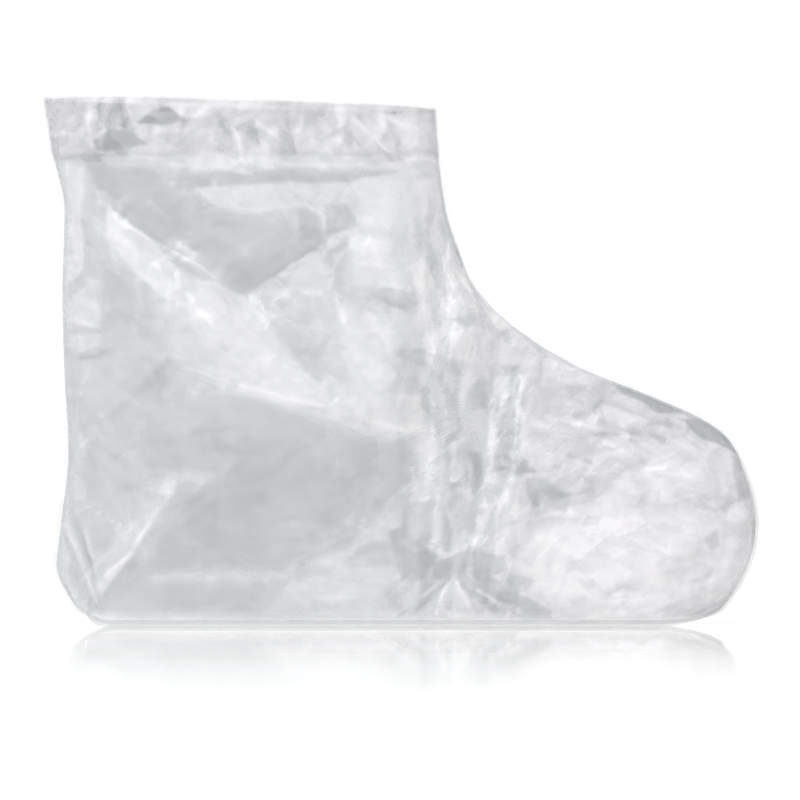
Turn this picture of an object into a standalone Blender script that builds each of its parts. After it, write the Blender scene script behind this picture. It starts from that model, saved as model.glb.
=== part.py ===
"""Disposable pedicure bootie of clear plastic film, standing open on its flattened sole.

Two film sheets are joined by a narrow heat weld that runs down the back, under the sole, round the toe
and up the instep. A turned-over band hems each sheet along the opening. The toe points along +X, the
wearer's left is +Y and +Z is up. The origin is on the floor, under the middle of the bootie's box.
"""

import bmesh
import bpy
import numpy as np

# Driving sizes in metres
LEG_DEPTH = 0.2105  # back edge to the front of the leg
FOREFOOT = 0.1668  # front of the leg to the tip of the toe
INSTEP_HEIGHT = 0.1710  # floor to the bend between leg and foot
LEG_RISE = 0.1085  # bend to the top of the sheets
HALF_WIDTH = 0.0420  # middle to the widest place of one side
WALL = 0.0010  # film
CLEARANCE = 0.0003  # between neighbouring pieces
WELD_THICKNESS = 0.0016  # side to side
WELD_FLANGE = 0.0014  # how far the weld stands out past the sheets
HEM_HEIGHT = 0.0290
FOLD_DEPTH = 0.0060  # of a fold whose share is 1

# Mesh divisions
ROWS = 50  # from the opening to the toe
HEM_ROWS = 4  # of those rows, within the hem
COLUMNS = 22  # from the back and sole edge to the instep edge

TURN_LENGTH = 0.16 * INSTEP_HEIGHT  # rows that a turn of one radian gets, as a length of straight edge

# Derived places
SHEET_EDGE = WELD_THICKNESS / 2 + CLEARANCE  # distance of a sheet's edge from the middle
FLANGE_FADE = 0.06  # share of INSTEP_HEIGHT within which the flange flattens out above the floor
TINY = 1e-12  # keeps a division by a length of 0 from failing
STEEPEST_EDGE = 1.5  # most that an offset grows where a sheet meets the weld at a slant
OTHER_SIDE_SHIFT = 0.07  # the left sheet's folds lie this many spans nearer to the heel
OTHER_SIDE_DEPTH = 0.8  # and they are this much shallower

# Places along X count in spans: 0 at the back, 1 at the front of the leg, 2 at the toe.
# Places along Z count in spans too: 0 on the floor, 1 at the bend, 2 at the top.
# Each section runs from the back or sole edge to the front or instep edge.
SECTION_COLUMNS = ("back_x", "back_z", "front_x", "front_z", "half", "flat", "bow")
# half is a share of HALF_WIDTH, flat is 0 for a leaf-shaped section and 1 for one that stands on the
# floor, and bow is how far the section bends towards the toe, as a share of its length.
SECTIONS = (
    (0.00, 2.00, 0.987, 1.945, 0.86, 0.00, 0.00),
    (0.02, 1.74, 0.995, 1.74, 0.84, 0.00, 0.00),
    (0.05, 1.44, 1.02, 1.45, 0.84, 0.00, 0.00),
    (0.045, 1.05, 1.06, 1.26, 0.86, 0.00, 0.00),
    (0.05, 0.78, 1.095, 1.12, 0.90, 0.00, 0.00),
    (0.06, 0.54, 1.13, 1.04, 0.95, 0.00, 0.00),
    (0.04, 0.30, 1.165, 0.985, 0.98, 0.00, 0.00),
    (0.03, 0.18, 1.20, 0.955, 1.00, 0.15, 0.00),
    (0.055, 0.10, 1.235, 0.925, 1.00, 0.45, 0.00),
    (0.095, 0.037, 1.28, 0.895, 0.98, 0.80, 0.00),
    (0.175, 0.00, 1.33, 0.86, 0.98, 1.00, 0.00),
    (0.40, 0.00, 1.39, 0.827, 0.97, 1.00, 0.00),
    (0.65, 0.00, 1.45, 0.796, 0.98, 1.00, 0.00),
    (0.90, 0.00, 1.525, 0.765, 1.00, 1.00, 0.00),
    (1.155, 0.00, 1.625, 0.728, 1.00, 1.00, 0.00),
    (1.375, 0.00, 1.71, 0.694, 0.99, 1.00, 0.00),
    (1.565, 0.00, 1.79, 0.66, 0.94, 1.00, 0.02),
    (1.695, 0.00, 1.85, 0.63, 0.84, 1.00, 0.05),
    (1.785, 0.006, 1.895, 0.60, 0.68, 0.80, 0.09),
    (1.84, 0.019, 1.925, 0.57, 0.48, 0.50, 0.13),
    (1.877, 0.034, 1.943, 0.54, 0.25, 0.20, 0.155),
    (1.896, 0.046, 1.95, 0.52, 0.00, 0.00, 0.17),
)

# The shape of a section, from its back or sole edge to its front or instep edge. Each place has its
# share of the way across and its share of the section's half width, for both kinds of section.
PROFILE_COLUMNS = ("leaf_across", "leaf_half", "floor_across", "floor_half")
PROFILE = (
    (0.00, 0.00, 0.00, 0.00),
    (0.035, 0.34, 0.00, 0.26),
    (0.10, 0.62, 0.00, 0.52),
    (0.19, 0.83, 0.00, 0.75),
    (0.30, 0.95, 0.04, 0.93),
    (0.42, 1.00, 0.14, 1.00),
    (0.54, 1.00, 0.27, 0.99),
    (0.66, 0.95, 0.42, 0.92),
    (0.78, 0.83, 0.58, 0.79),
    (0.885, 0.62, 0.74, 0.60),
    (0.96, 0.34, 0.89, 0.34),
    (1.00, 0.00, 1.00, 0.00),
)

# Each fold runs from (x1, z1) to (x2, z2) in spans. width is a share of HALF_WIDTH, and depth is a share
# of FOLD_DEPTH, above 0 for a ridge and below 0 for a valley.
FOLD_COLUMNS = ("x1", "z1", "x2", "z2", "width", "depth")
BILLOW_FOLDS = (
    (0.12, 1.67, 0.32, 1.30, 0.30, -0.7),
    (0.32, 1.30, 0.51, 1.04, 0.34, -1.0),
    (0.51, 1.04, 0.79, 1.43, 0.32, -0.9),
    (0.15, 1.45, 0.45, 0.91, 0.38, 0.8),
    (0.45, 0.91, 0.75, 0.63, 0.38, 0.9),
    (0.51, 1.04, 0.74, 0.72, 0.22, -0.4),
    (0.73, 1.02, 0.87, 0.73, 0.26, 0.6),
    (0.30, 1.62, 0.88, 1.60, 0.26, -0.5),
)
LOWER_LEG_FOLDS = (
    (0.32, 0.81, 0.71, 0.66, 0.20, -0.4),
    (0.40, 0.41, 0.75, 0.41, 0.80, -0.8),
    (0.13, 0.12, 0.22, 0.23, 0.18, 0.5),
    (0.22, 0.23, 0.33, 0.40, 0.20, 0.6),
    (0.05, 0.32, 0.16, 0.06, 0.16, -0.7),
    (0.90, 1.00, 0.88, 0.44, 0.24, 0.5),
)
ANKLE_PLEATS = (
    (0.98, 1.34, 0.96, 0.30, 0.30, -0.7),
    (1.09, 1.10, 1.02, 0.34, 0.28, 0.6),
    (1.19, 0.84, 1.10, 0.30, 0.30, -0.7),
    (1.27, 0.74, 1.20, 0.26, 0.30, 0.6),
)
SOLE_PUCKERS = (
    (1.03, 0.16, 0.90, 0.06, 0.26, -0.5),
    (1.03, 0.16, 1.06, 0.06, 0.26, 0.4),
    (1.03, 0.16, 1.22, 0.06, 0.26, -0.5),
)
FOOT_FOLDS = (
    (1.12, 1.00, 1.34, 0.83, 0.16, 0.5),
    (1.37, 0.69, 1.63, 0.48, 0.24, -0.6),
    (1.53, 0.65, 1.81, 0.48, 0.22, 0.6),
    (1.37, 0.25, 1.69, 0.25, 0.60, 0.5),
    (1.67, 0.40, 1.90, 0.36, 0.18, -0.6),
    (1.75, 0.14, 1.88, 0.22, 0.16, -0.5),
)
HEM_GATHERS = (
    (0.12, 2.00, 0.13, 1.76, 0.30, -0.35),
    (0.24, 2.00, 0.24, 1.76, 0.30, 0.35),
    (0.40, 2.00, 0.40, 1.76, 0.34, -0.35),
    (0.56, 2.00, 0.55, 1.74, 0.32, 0.45),
    (0.69, 2.00, 0.67, 1.74, 0.30, -0.40),
    (0.78, 1.95, 0.90, 1.66, 0.30, 0.45),
)
FOLDS = BILLOW_FOLDS + LOWER_LEG_FOLDS + ANKLE_PLEATS + SOLE_PUCKERS + FOOT_FOLDS + HEM_GATHERS
FOLD_FREE_EDGE = 0.40  # share of HALF_WIDTH beside the weld within which folds fade out

# Finish of each kind of piece: colour, roughness and how much light it stops
FILM_FINISH = ((0.84, 0.86, 0.88), 0.30, 0.60)
HEM_FINISH = ((0.87, 0.88, 0.90), 0.32, 0.70)
WELD_FINISH = ((0.90, 0.91, 0.92), 0.35, 0.80)


def clear_scene():
    for item in list(bpy.data.objects):
        bpy.data.objects.remove(item, do_unlink=True)


def place_x(spans):
    """The distance from the back edge for a place in spans along X."""
    return LEG_DEPTH * np.minimum(spans, 1) + FOREFOOT * np.maximum(np.asarray(spans) - 1, 0)


def place_z(spans):
    """The height for a place in spans along Z."""
    return INSTEP_HEIGHT * np.minimum(spans, 1) + LEG_RISE * np.maximum(np.asarray(spans) - 1, 0)


def column(table, names, name):
    return np.array([row[names.index(name)] for row in table], float)


def read_between(values, at):
    """Reads a table's column between its rows, smoothly and without overshoot."""
    steps = np.diff(values)
    before, after = steps[:-1], steps[1:]
    same_way = before * after > 0
    total = np.where(same_way, before + after, 1)
    middle = np.where(same_way, 2 * before * after / total, 0)
    slopes = np.concatenate([steps[:1], middle, steps[-1:]])
    row = np.clip(np.floor(at).astype(int), 0, len(steps) - 1)
    t = at - row
    rise = t * t * (3 - 2 * t)
    start = t * (1 - t) ** 2
    end = t * t * (t - 1)
    return values[row] + rise * steps[row] + start * slopes[row] + end * slopes[row + 1]


def fade(share):
    """Rises smoothly from 0 at a share of 0 to 1 at a share of 1."""
    share = np.clip(share, 0, 1)
    return share * share * (3 - 2 * share)


def section_edges(at):
    """Both ends of the sections at the given table rows, as X and Z in metres."""
    ends = {}
    for end in ("back", "front"):
        x = place_x(read_between(column(SECTIONS, SECTION_COLUMNS, end + "_x"), at))
        z = place_z(read_between(column(SECTIONS, SECTION_COLUMNS, end + "_z"), at))
        ends[end] = np.stack([x, z], axis=-1)
    return ends["back"], ends["front"]


def row_places():
    """The table places of the mesh rows: evenly down the hem, then closer together where an edge turns."""
    fine = np.linspace(0, len(SECTIONS) - 1, 2000)
    length = np.zeros(len(fine))
    pace = np.zeros(len(fine))
    for edge in section_edges(fine):
        step = np.diff(edge, axis=0)
        run = np.linalg.norm(step, axis=1)
        turn = np.abs(np.diff(np.unwrap(np.arctan2(step[:, 1], step[:, 0]))))
        length[1:] += np.cumsum(run) / 2
        pace[1:] += np.cumsum(run + TURN_LENGTH * np.append(turn, 0)) / 2
    down_hem = np.interp(np.linspace(0, HEM_HEIGHT, HEM_ROWS + 1), length, fine)
    hem_pace = np.interp(down_hem[-1], fine, pace)
    to_toe = np.interp(np.linspace(hem_pace, pace[-1], ROWS - HEM_ROWS + 1), pace, fine)
    return np.concatenate([down_hem, to_toe[1:]])


def fold_height(x, z, side):
    """How far the folds push the sheet out at a place, in metres. side is -1 right and 1 left."""
    shift = OTHER_SIDE_SHIFT * LEG_DEPTH if side > 0 else 0
    scale = OTHER_SIDE_DEPTH if side > 0 else 1
    height = np.zeros_like(x)
    for row in FOLDS:
        fold = dict(zip(FOLD_COLUMNS, row))
        start = np.array([place_x(fold["x1"]) - shift, place_z(fold["z1"])])
        along = np.array([place_x(fold["x2"]) - shift, place_z(fold["z2"])]) - start
        share = ((x - start[0]) * along[0] + (z - start[1]) * along[1]) / (along @ along)
        share = np.clip(share, 0, 1)
        away = np.hypot(x - start[0] - share * along[0], z - start[1] - share * along[1])
        height += fold["depth"] * np.exp(-((away / (fold["width"] * HALF_WIDTH)) ** 2))
    return height * FOLD_DEPTH * scale


def sheet_surface(side):
    """The outer surface of one sheet as a grid of points. Its rows run from the opening to the toe."""
    rows = row_places()[:, None]
    across = np.linspace(0, len(PROFILE) - 1, COLUMNS + 1)[None, :]
    read = {name: read_between(column(SECTIONS, SECTION_COLUMNS, name), rows) for name in SECTION_COLUMNS}
    shape = {name: read_between(column(PROFILE, PROFILE_COLUMNS, name), across) for name in PROFILE_COLUMNS}
    flat = fade(read["flat"])
    share = (1 - flat) * shape["leaf_across"] + flat * shape["floor_across"]
    half = (1 - flat) * shape["leaf_half"] + flat * shape["floor_half"]
    back_x, back_z = place_x(read["back_x"]), place_z(read["back_z"])
    along_x = place_x(read["front_x"]) - back_x
    along_z = place_z(read["front_z"]) - back_z
    bend = read["bow"] * 4 * share * (1 - share)
    x = back_x + along_x * share + along_z * bend
    z = back_z + along_z * share - along_x * bend
    reach = (HALF_WIDTH - SHEET_EDGE) * read["half"] * half
    folds = fold_height(x, z, side) * fade(reach / (FOLD_FREE_EDGE * HALF_WIDTH))
    y = side * (SHEET_EDGE + reach + folds)
    return np.stack([x, y, z], axis=-1)


def edge_places():
    """Row and column of each point along a sheet's edge, from the back of the opening to its front."""
    down = [(row, 0) for row in range(ROWS + 1)]
    round_toe = [(ROWS, place) for place in range(1, COLUMNS + 1)]
    up = [(row, COLUMNS) for row in range(ROWS - 1, -1, -1)]
    return down + round_toe + up


def edge_outward(points):
    """The outward direction in the X-Z plane at each point along a sheet's edge."""
    tangent = np.gradient(points[:, [0, 2]], axis=0)
    tangent /= np.linalg.norm(tangent, axis=1)[:, None]
    return np.stack([tangent[:, 1], np.zeros(len(points)), -tangent[:, 0]], axis=-1)


def facing(corners, side):
    """The unit directions in which triangles of a sheet face, turned away from the middle."""
    a, b, c = corners
    direction = np.cross(b - a, c - a) * -side
    return direction / (np.linalg.norm(direction, axis=-1)[..., None] + TINY)


def outward_normals(surface, side):
    """The mean direction of the triangles round each point of a sheet's grid."""
    a, b = surface[:-1, :-1], surface[1:, :-1]
    d, e = surface[:-1, 1:], surface[1:, 1:]
    lower = facing((a, b, e), side)
    upper = facing((a, e, d), side)
    total = np.zeros_like(surface)
    total[:-1, :-1] += lower + upper
    total[1:, :-1] += lower
    total[1:, 1:] += lower + upper
    total[:-1, 1:] += upper
    return total / (np.linalg.norm(total, axis=-1)[..., None] + TINY)


def offset_surface(surface, distance, side):
    """A sheet's grid moved out by a distance, with its edge kept in the plane of the sheet's edge."""
    normal = outward_normals(surface, side)
    moved = surface + normal * distance
    places = tuple(np.array(edge_places()).T)
    outward = edge_outward(surface[places])
    in_plane = np.hypot(normal[places][:, 0], normal[places][:, 2])
    slant = 1 / np.maximum(in_plane, 1 / STEEPEST_EDGE)
    moved[places] = surface[places] + outward * (distance * slant)[:, None]
    return moved


def thick_sheet(name, outer, inner, finish, turned_rows=0):
    """A closed solid between two grids of points, which meet in a narrow face along their border.

    The first turned_rows rows run back up the sheet that they lie on, so their squares are cut along
    the other diagonal, and lie parallel to the sheet's own triangles.
    """
    mesh = bmesh.new()
    rows, columns = outer.shape[:2]
    grids = [[[mesh.verts.new(point) for point in line] for line in grid] for grid in (outer, inner)]
    for grid in grids:
        for r in range(rows - 1):
            for c in range(columns - 1):
                a, b = grid[r][c], grid[r + 1][c]
                d, e = grid[r][c + 1], grid[r + 1][c + 1]
                triangles = ((a, b, d), (b, e, d)) if r < turned_rows else ((a, b, e), (a, e, d))
                for corners in triangles:
                    mesh.faces.new(corners)
    border = [(r, 0) for r in range(rows)]
    border += [(rows - 1, c) for c in range(1, columns)]
    border += [(r, columns - 1) for r in range(rows - 2, -1, -1)]
    border += [(0, c) for c in range(columns - 2, 0, -1)]
    for (r1, c1), (r2, c2) in zip(border, border[1:] + border[:1]):
        mesh.faces.new((grids[0][r1][c1], grids[0][r2][c2], grids[1][r2][c2]))
        mesh.faces.new((grids[0][r1][c1], grids[1][r2][c2], grids[1][r1][c1]))
    bmesh.ops.recalc_face_normals(mesh, faces=mesh.faces)
    data = bpy.data.meshes.new(name)
    mesh.to_mesh(data)
    mesh.free()
    data.shade_smooth()
    data.set_sharp_from_angle(angle=np.radians(50))
    piece = bpy.data.objects.new(name, data)
    bpy.context.scene.collection.objects.link(piece)
    data.materials.append(film_material(name + "_film", *finish))
    return piece


def film_material(name, colour, roughness, stops):
    material = bpy.data.materials.new(name)
    material.use_nodes = True
    shader = material.node_tree.nodes["Principled BSDF"]
    shader.inputs["Base Color"].default_value = (*colour, 1)
    shader.inputs["Roughness"].default_value = roughness
    shader.inputs["Metallic"].default_value = 0
    shader.inputs["Alpha"].default_value = stops
    return material


def raised(line, lift):
    return line + np.array([0, 0, lift])


def hem_grids(surface, side):
    """The two faces of the hem: from inside the opening over the sheet's top and down its outside."""
    outside = offset_surface(surface, CLEARANCE + WALL, side)
    near_outside = offset_surface(surface, CLEARANCE, side)
    near_inside = offset_surface(surface, -(WALL + CLEARANCE), side)
    inside = offset_surface(surface, -(2 * WALL + CLEARANCE), side)
    top = CLEARANCE + WALL
    over_top = [raised(inside[0], top), raised(outside[0], top)]
    under_top = [raised(near_inside[0], CLEARANCE), raised(near_outside[0], CLEARANCE)]
    outer = [inside[1], *over_top, *outside[1 : HEM_ROWS + 1]]
    inner = [near_inside[1], *under_top, *near_outside[1 : HEM_ROWS + 1]]
    return np.array(outer), np.array(inner)


def weld_grids(surface):
    """The outer and the inner edge of the weld strip, each as two lines of points side by side."""
    points = surface[tuple(np.array(edge_places()).T)].copy()
    points[:, 1] = 0
    outward = edge_outward(points)
    points[[0, -1], 2] += CLEARANCE + WALL
    flange = WELD_FLANGE * fade(points[:, 2] / (FLANGE_FADE * INSTEP_HEIGHT))
    out_line = points + outward * flange[:, None]
    in_line = points - outward * (2 * WALL + CLEARANCE)
    half = np.array([0, WELD_THICKNESS / 2, 0])
    return np.array([out_line - half, out_line + half]), np.array([in_line - half, in_line + half])


def build():
    clear_scene()
    grids = {}
    for name, side in (("right", -1), ("left", 1)):
        surface = sheet_surface(side)
        grids[name + "_side_panel"] = (surface, offset_surface(surface, -WALL, side), FILM_FINISH)
        grids[name + "_hem"] = (*hem_grids(surface, side), HEM_FINISH)
    grids["edge_weld"] = (*weld_grids(surface), WELD_FINISH)
    points = np.concatenate([grid.reshape(-1, 3) for pair in grids.values() for grid in pair[:2]])
    middle = (points.min(axis=0) + points.max(axis=0)) / 2
    middle[2] = 0
    for name, (outer, inner, finish) in grids.items():
        turned_rows = 1 if name.endswith("_hem") else 0
        thick_sheet(name, outer - middle, inner - middle, finish, turned_rows)


build()
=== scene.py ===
"""Looks of the disposable pedicure bootie: creased clear film, its hem bands and its welded edge."""

import math

import bpy
import numpy as np
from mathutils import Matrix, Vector


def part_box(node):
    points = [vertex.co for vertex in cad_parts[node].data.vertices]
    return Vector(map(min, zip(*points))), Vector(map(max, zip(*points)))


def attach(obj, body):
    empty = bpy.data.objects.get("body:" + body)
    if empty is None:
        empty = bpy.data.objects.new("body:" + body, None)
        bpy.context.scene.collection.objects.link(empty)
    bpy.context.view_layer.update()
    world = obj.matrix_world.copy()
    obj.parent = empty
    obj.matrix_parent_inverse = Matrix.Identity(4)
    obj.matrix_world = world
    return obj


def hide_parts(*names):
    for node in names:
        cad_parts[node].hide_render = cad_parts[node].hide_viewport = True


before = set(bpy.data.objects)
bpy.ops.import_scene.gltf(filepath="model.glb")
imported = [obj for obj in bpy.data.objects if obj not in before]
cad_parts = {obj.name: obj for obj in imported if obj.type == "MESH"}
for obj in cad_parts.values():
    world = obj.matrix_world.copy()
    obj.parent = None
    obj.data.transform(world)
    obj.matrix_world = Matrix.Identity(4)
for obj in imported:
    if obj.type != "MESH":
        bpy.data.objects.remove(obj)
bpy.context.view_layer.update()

# Sizes of the solids, in metres
LEG_DEPTH = 0.2105
FOREFOOT = 0.1668
INSTEP_HEIGHT = 0.1710
LEG_RISE = 0.1085
HALF_WIDTH = 0.0420
HEM_HEIGHT = 0.0290
FOLD_DEPTH = 0.0060
WELD_FLANGE = 0.0014

# Sizes of the fine film, in metres
FILM_EDGE = 0.0003  # distance of a film sheet's edge from the middle
WELD_HALF = 0.0003  # half the thickness of the welded strip
WELD_INSIDE = 0.0020  # how far the strip reaches into the bootie
WELD_RAGGED = (0.12, 0.004)  # how ragged its rim is, as a share, and over what length
WELD_WAVE = (0.0002, 0.007)  # how far it waves and over what length
HEM_STAND_OFF = 0.0009  # how far the turned-over film stands off the sheet
HEM_TURN_IN = 0.0070  # how far it reaches down inside
HEM_TURN_ROWS = 9  # rows of points round the rim
HEM_PRESSED = 0.35  # share of the stand-off left at the band's lower edge
HEM_PRESS_REACH = 0.0040  # how far above that edge the film is pressed down
HEM_FADE = 0.0040  # how far the hem's creases fade out below it
OTHER_SIDE_SHIFT = 0.07
OTHER_SIDE_DEPTH = 0.8
FOLD_FREE_EDGE = 0.40

# Mesh divisions of a film sheet, and the steps in which the section table is measured
ROWS = 500
COLUMNS = 194
TABLE_STEPS = 4000

MOST_TONE = 1.4  # tones beyond this look alike
WARM_TINT = (1.0, 0.975, 0.985)  # the foot's film is slightly warmer
FLOOR_RINGS = (0.6, 1, 1.7, 3, 5, 9, 16, 30)  # metres
FLOOR_SIDES = 96
FLOOR_LEVEL = -0.0008

# The reference picture's frame: the bootie's left end, its sole and the size of a pixel
PICTURE_SIDE = 800
PICTURE_LEFT = 42
PICTURE_SOLE = 625
METRES_PER_PIXEL = 0.3815 / 717
PICTURE_MIDDLE = 400
CAMERA_SOLE = 624  # where the sole's middle line falls in the picture
NEAR_SCALE = 1.015  # the near sheet is seen this much larger than the outline behind it
LENS, SENSOR = 200, 36  # millimetres
BOOTIE_MIDDLE = (0, 0, 0.14)  # metres, where the lamps point

# The same section table as the solids
SECTION_COLUMNS = ("back_x", "back_z", "front_x", "front_z", "half", "flat", "bow")
SECTIONS = (
    (0.00, 2.00, 0.987, 1.945, 0.86, 0.00, 0.00),
    (0.02, 1.74, 0.995, 1.74, 0.84, 0.00, 0.00),
    (0.05, 1.44, 1.02, 1.45, 0.84, 0.00, 0.00),
    (0.045, 1.05, 1.06, 1.26, 0.86, 0.00, 0.00),
    (0.05, 0.78, 1.095, 1.12, 0.90, 0.00, 0.00),
    (0.06, 0.54, 1.13, 1.04, 0.95, 0.00, 0.00),
    (0.04, 0.30, 1.165, 0.985, 0.98, 0.00, 0.00),
    (0.03, 0.18, 1.20, 0.955, 1.00, 0.15, 0.00),
    (0.055, 0.10, 1.235, 0.925, 1.00, 0.45, 0.00),
    (0.095, 0.037, 1.28, 0.895, 0.98, 0.80, 0.00),
    (0.175, 0.00, 1.33, 0.86, 0.98, 1.00, 0.00),
    (0.40, 0.00, 1.39, 0.827, 0.97, 1.00, 0.00),
    (0.65, 0.00, 1.45, 0.796, 0.98, 1.00, 0.00),
    (0.90, 0.00, 1.525, 0.765, 1.00, 1.00, 0.00),
    (1.155, 0.00, 1.625, 0.728, 1.00, 1.00, 0.00),
    (1.375, 0.00, 1.71, 0.694, 0.99, 1.00, 0.00),
    (1.565, 0.00, 1.79, 0.66, 0.94, 1.00, 0.02),
    (1.695, 0.00, 1.85, 0.63, 0.84, 1.00, 0.05),
    (1.785, 0.006, 1.895, 0.60, 0.68, 0.80, 0.09),
    (1.84, 0.019, 1.925, 0.57, 0.48, 0.50, 0.13),
    (1.877, 0.034, 1.943, 0.54, 0.25, 0.20, 0.155),
    (1.896, 0.046, 1.95, 0.52, 0.00, 0.00, 0.17),
)
PROFILE_COLUMNS = ("leaf_across", "leaf_half", "floor_across", "floor_half")
PROFILE = (
    (0.00, 0.00, 0.00, 0.00),
    (0.035, 0.34, 0.00, 0.26),
    (0.10, 0.62, 0.00, 0.52),
    (0.19, 0.83, 0.00, 0.75),
    (0.30, 0.95, 0.04, 0.93),
    (0.42, 1.00, 0.14, 1.00),
    (0.54, 1.00, 0.27, 0.99),
    (0.66, 0.95, 0.42, 0.92),
    (0.78, 0.83, 0.58, 0.79),
    (0.885, 0.62, 0.74, 0.60),
    (0.96, 0.34, 0.89, 0.34),
    (1.00, 0.00, 1.00, 0.00),
)

# The same large folds as the solids, in spans: x1, z1, x2, z2, width as a share of HALF_WIDTH, depth
FOLDS = (
    (0.12, 1.67, 0.32, 1.30, 0.30, -0.7),
    (0.32, 1.30, 0.51, 1.04, 0.34, -1.0),
    (0.51, 1.04, 0.79, 1.43, 0.32, -0.9),
    (0.15, 1.45, 0.45, 0.91, 0.38, 0.8),
    (0.45, 0.91, 0.75, 0.63, 0.38, 0.9),
    (0.51, 1.04, 0.74, 0.72, 0.22, -0.4),
    (0.73, 1.02, 0.87, 0.73, 0.26, 0.6),
    (0.30, 1.62, 0.88, 1.60, 0.26, -0.5),
    (0.32, 0.81, 0.71, 0.66, 0.20, -0.4),
    (0.40, 0.41, 0.75, 0.41, 0.80, -0.8),
    (0.13, 0.12, 0.22, 0.23, 0.18, 0.5),
    (0.22, 0.23, 0.33, 0.40, 0.20, 0.6),
    (0.05, 0.32, 0.16, 0.06, 0.16, -0.7),
    (0.90, 1.00, 0.88, 0.44, 0.24, 0.5),
    (0.98, 1.34, 0.96, 0.30, 0.30, -0.7),
    (1.09, 1.10, 1.02, 0.34, 0.28, 0.6),
    (1.19, 0.84, 1.10, 0.30, 0.30, -0.7),
    (1.27, 0.74, 1.20, 0.26, 0.30, 0.6),
    (1.03, 0.16, 0.90, 0.06, 0.26, -0.5),
    (1.03, 0.16, 1.06, 0.06, 0.26, 0.4),
    (1.03, 0.16, 1.22, 0.06, 0.26, -0.5),
    (1.12, 1.00, 1.34, 0.83, 0.16, 0.5),
    (1.37, 0.69, 1.63, 0.48, 0.24, -0.6),
    (1.53, 0.65, 1.81, 0.48, 0.22, 0.6),
    (1.37, 0.25, 1.69, 0.25, 0.60, 0.5),
    (1.67, 0.40, 1.90, 0.36, 0.18, -0.6),
    (1.75, 0.14, 1.88, 0.22, 0.16, -0.5),
    (0.12, 2.00, 0.13, 1.76, 0.30, -0.35),
    (0.24, 2.00, 0.24, 1.76, 0.30, 0.35),
    (0.40, 2.00, 0.40, 1.76, 0.34, -0.35),
    (0.56, 2.00, 0.55, 1.74, 0.32, 0.45),
    (0.69, 2.00, 0.67, 1.74, 0.30, -0.40),
    (0.78, 1.95, 0.90, 1.66, 0.30, 0.45),
)

# Flat panes of film between creases: corners in pixels of the picture, round a convex outline. tone is
# below 0 for clear grey film and above 0 for milky bright film. The panes also paint light and shade: bright
# patches of painted light where the creased film catches the lamps, dark patches of painted shade where it
# is shaded, and some panes darken a spot where a lamp's highlight fell. soft is the width of the pane's edge
# in pixels. A later pane covers an earlier one.
PANE_COLUMNS = ("tone", "soft", "corners")
BACK_PANES = (
    (-0.45, 18, ((58, 325), (165, 325), (158, 500), (104, 618), (70, 606))),
    (-0.6, 14, ((84, 562), (160, 556), (330, 572), (330, 618), (96, 618))),
    (-0.4, 12, ((80, 150), (120, 150), (150, 215), (120, 240), (84, 220))),
    (-1.0, 8, ((78, 156), (94, 156), (132, 214), (120, 228), (98, 202))),
    (0.3, 5, ((62, 162), (79, 168), (79, 275), (62, 285))),
    (-0.5, 5, ((80, 215), (104, 240), (112, 285), (80, 275))),
    (-0.6, 6, ((62, 282), (80, 270), (82, 285), (64, 298))),
    (0.0, 6, ((62, 337), (96, 336), (92, 350), (68, 362))),
    (-0.4, 8, ((80, 390), (100, 366), (142, 378), (98, 408))),
    (-0.7, 10, ((96, 255), (150, 282), (152, 340), (98, 332))),
    (0.0, 6, ((67, 415), (76, 430), (84, 500), (70, 500))),
    (-0.5, 8, ((80, 440), (104, 430), (108, 560), (90, 560))),
    (-0.7, 4, ((57, 532), (72, 550), (100, 612), (72, 600))),
)
BILLOW_PANES = (
    (-1.1, 6, ((150, 166), (400, 169), (352, 182), (160, 188))),
    (-0.2, 9, ((205, 187), (350, 185), (352, 204), (215, 207))),
    (0.15, 9, ((350, 178), (418, 172), (420, 228), (358, 228))),
    (-1.0, 8, ((90, 160), (165, 165), (212, 210), (206, 283), (165, 257), (98, 196))),
    (-0.85, 10, ((203, 208), (262, 213), (302, 236), (300, 258), (264, 281), (240, 296), (203, 282))),
    (-0.75, 5, ((262, 211), (300, 205), (313, 218), (320, 243), (302, 244), (280, 226))),
    (-0.8, 4, ((322, 206), (344, 206), (358, 225), (350, 232), (322, 236))),
    (-0.75, 12, ((296, 248), (346, 240), (336, 298), (262, 288))),
    (0.35, 9, ((346, 238), (378, 232), (412, 252), (414, 286), (350, 288))),
    (-0.6, 6, ((362, 300), (380, 287), (412, 290), (413, 310), (385, 316))),
)
BAND_PANES = (
    (0.45, 5, ((103, 203), (165, 257), (200, 292), (168, 302), (118, 258), (103, 236))),
    (0.4, 7, ((165, 300), (198, 280), (242, 296), (266, 324), (216, 385), (198, 364), (190, 330))),
    (-0.6, 6, ((160, 238), (180, 238), (222, 276), (222, 288), (200, 282))),
    (0.45, 6, ((240, 295), (294, 352), (332, 410), (262, 398), (214, 383))),
    (-0.5, 7, ((160, 360), (186, 362), (240, 384), (236, 394), (160, 384))),
    (-0.25, 12, ((246, 296), (330, 290), (340, 330), (346, 396), (306, 384), (264, 320))),
    (-0.5, 10, ((280, 330), (318, 330), (330, 388), (304, 374))),
    (0.25, 8, ((332, 296), (366, 310), (388, 342), (392, 388), (356, 400), (340, 352))),
    (0.25, 6, ((338, 400), (395, 390), (420, 402), (420, 437), (380, 430), (350, 416))),
)
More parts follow.
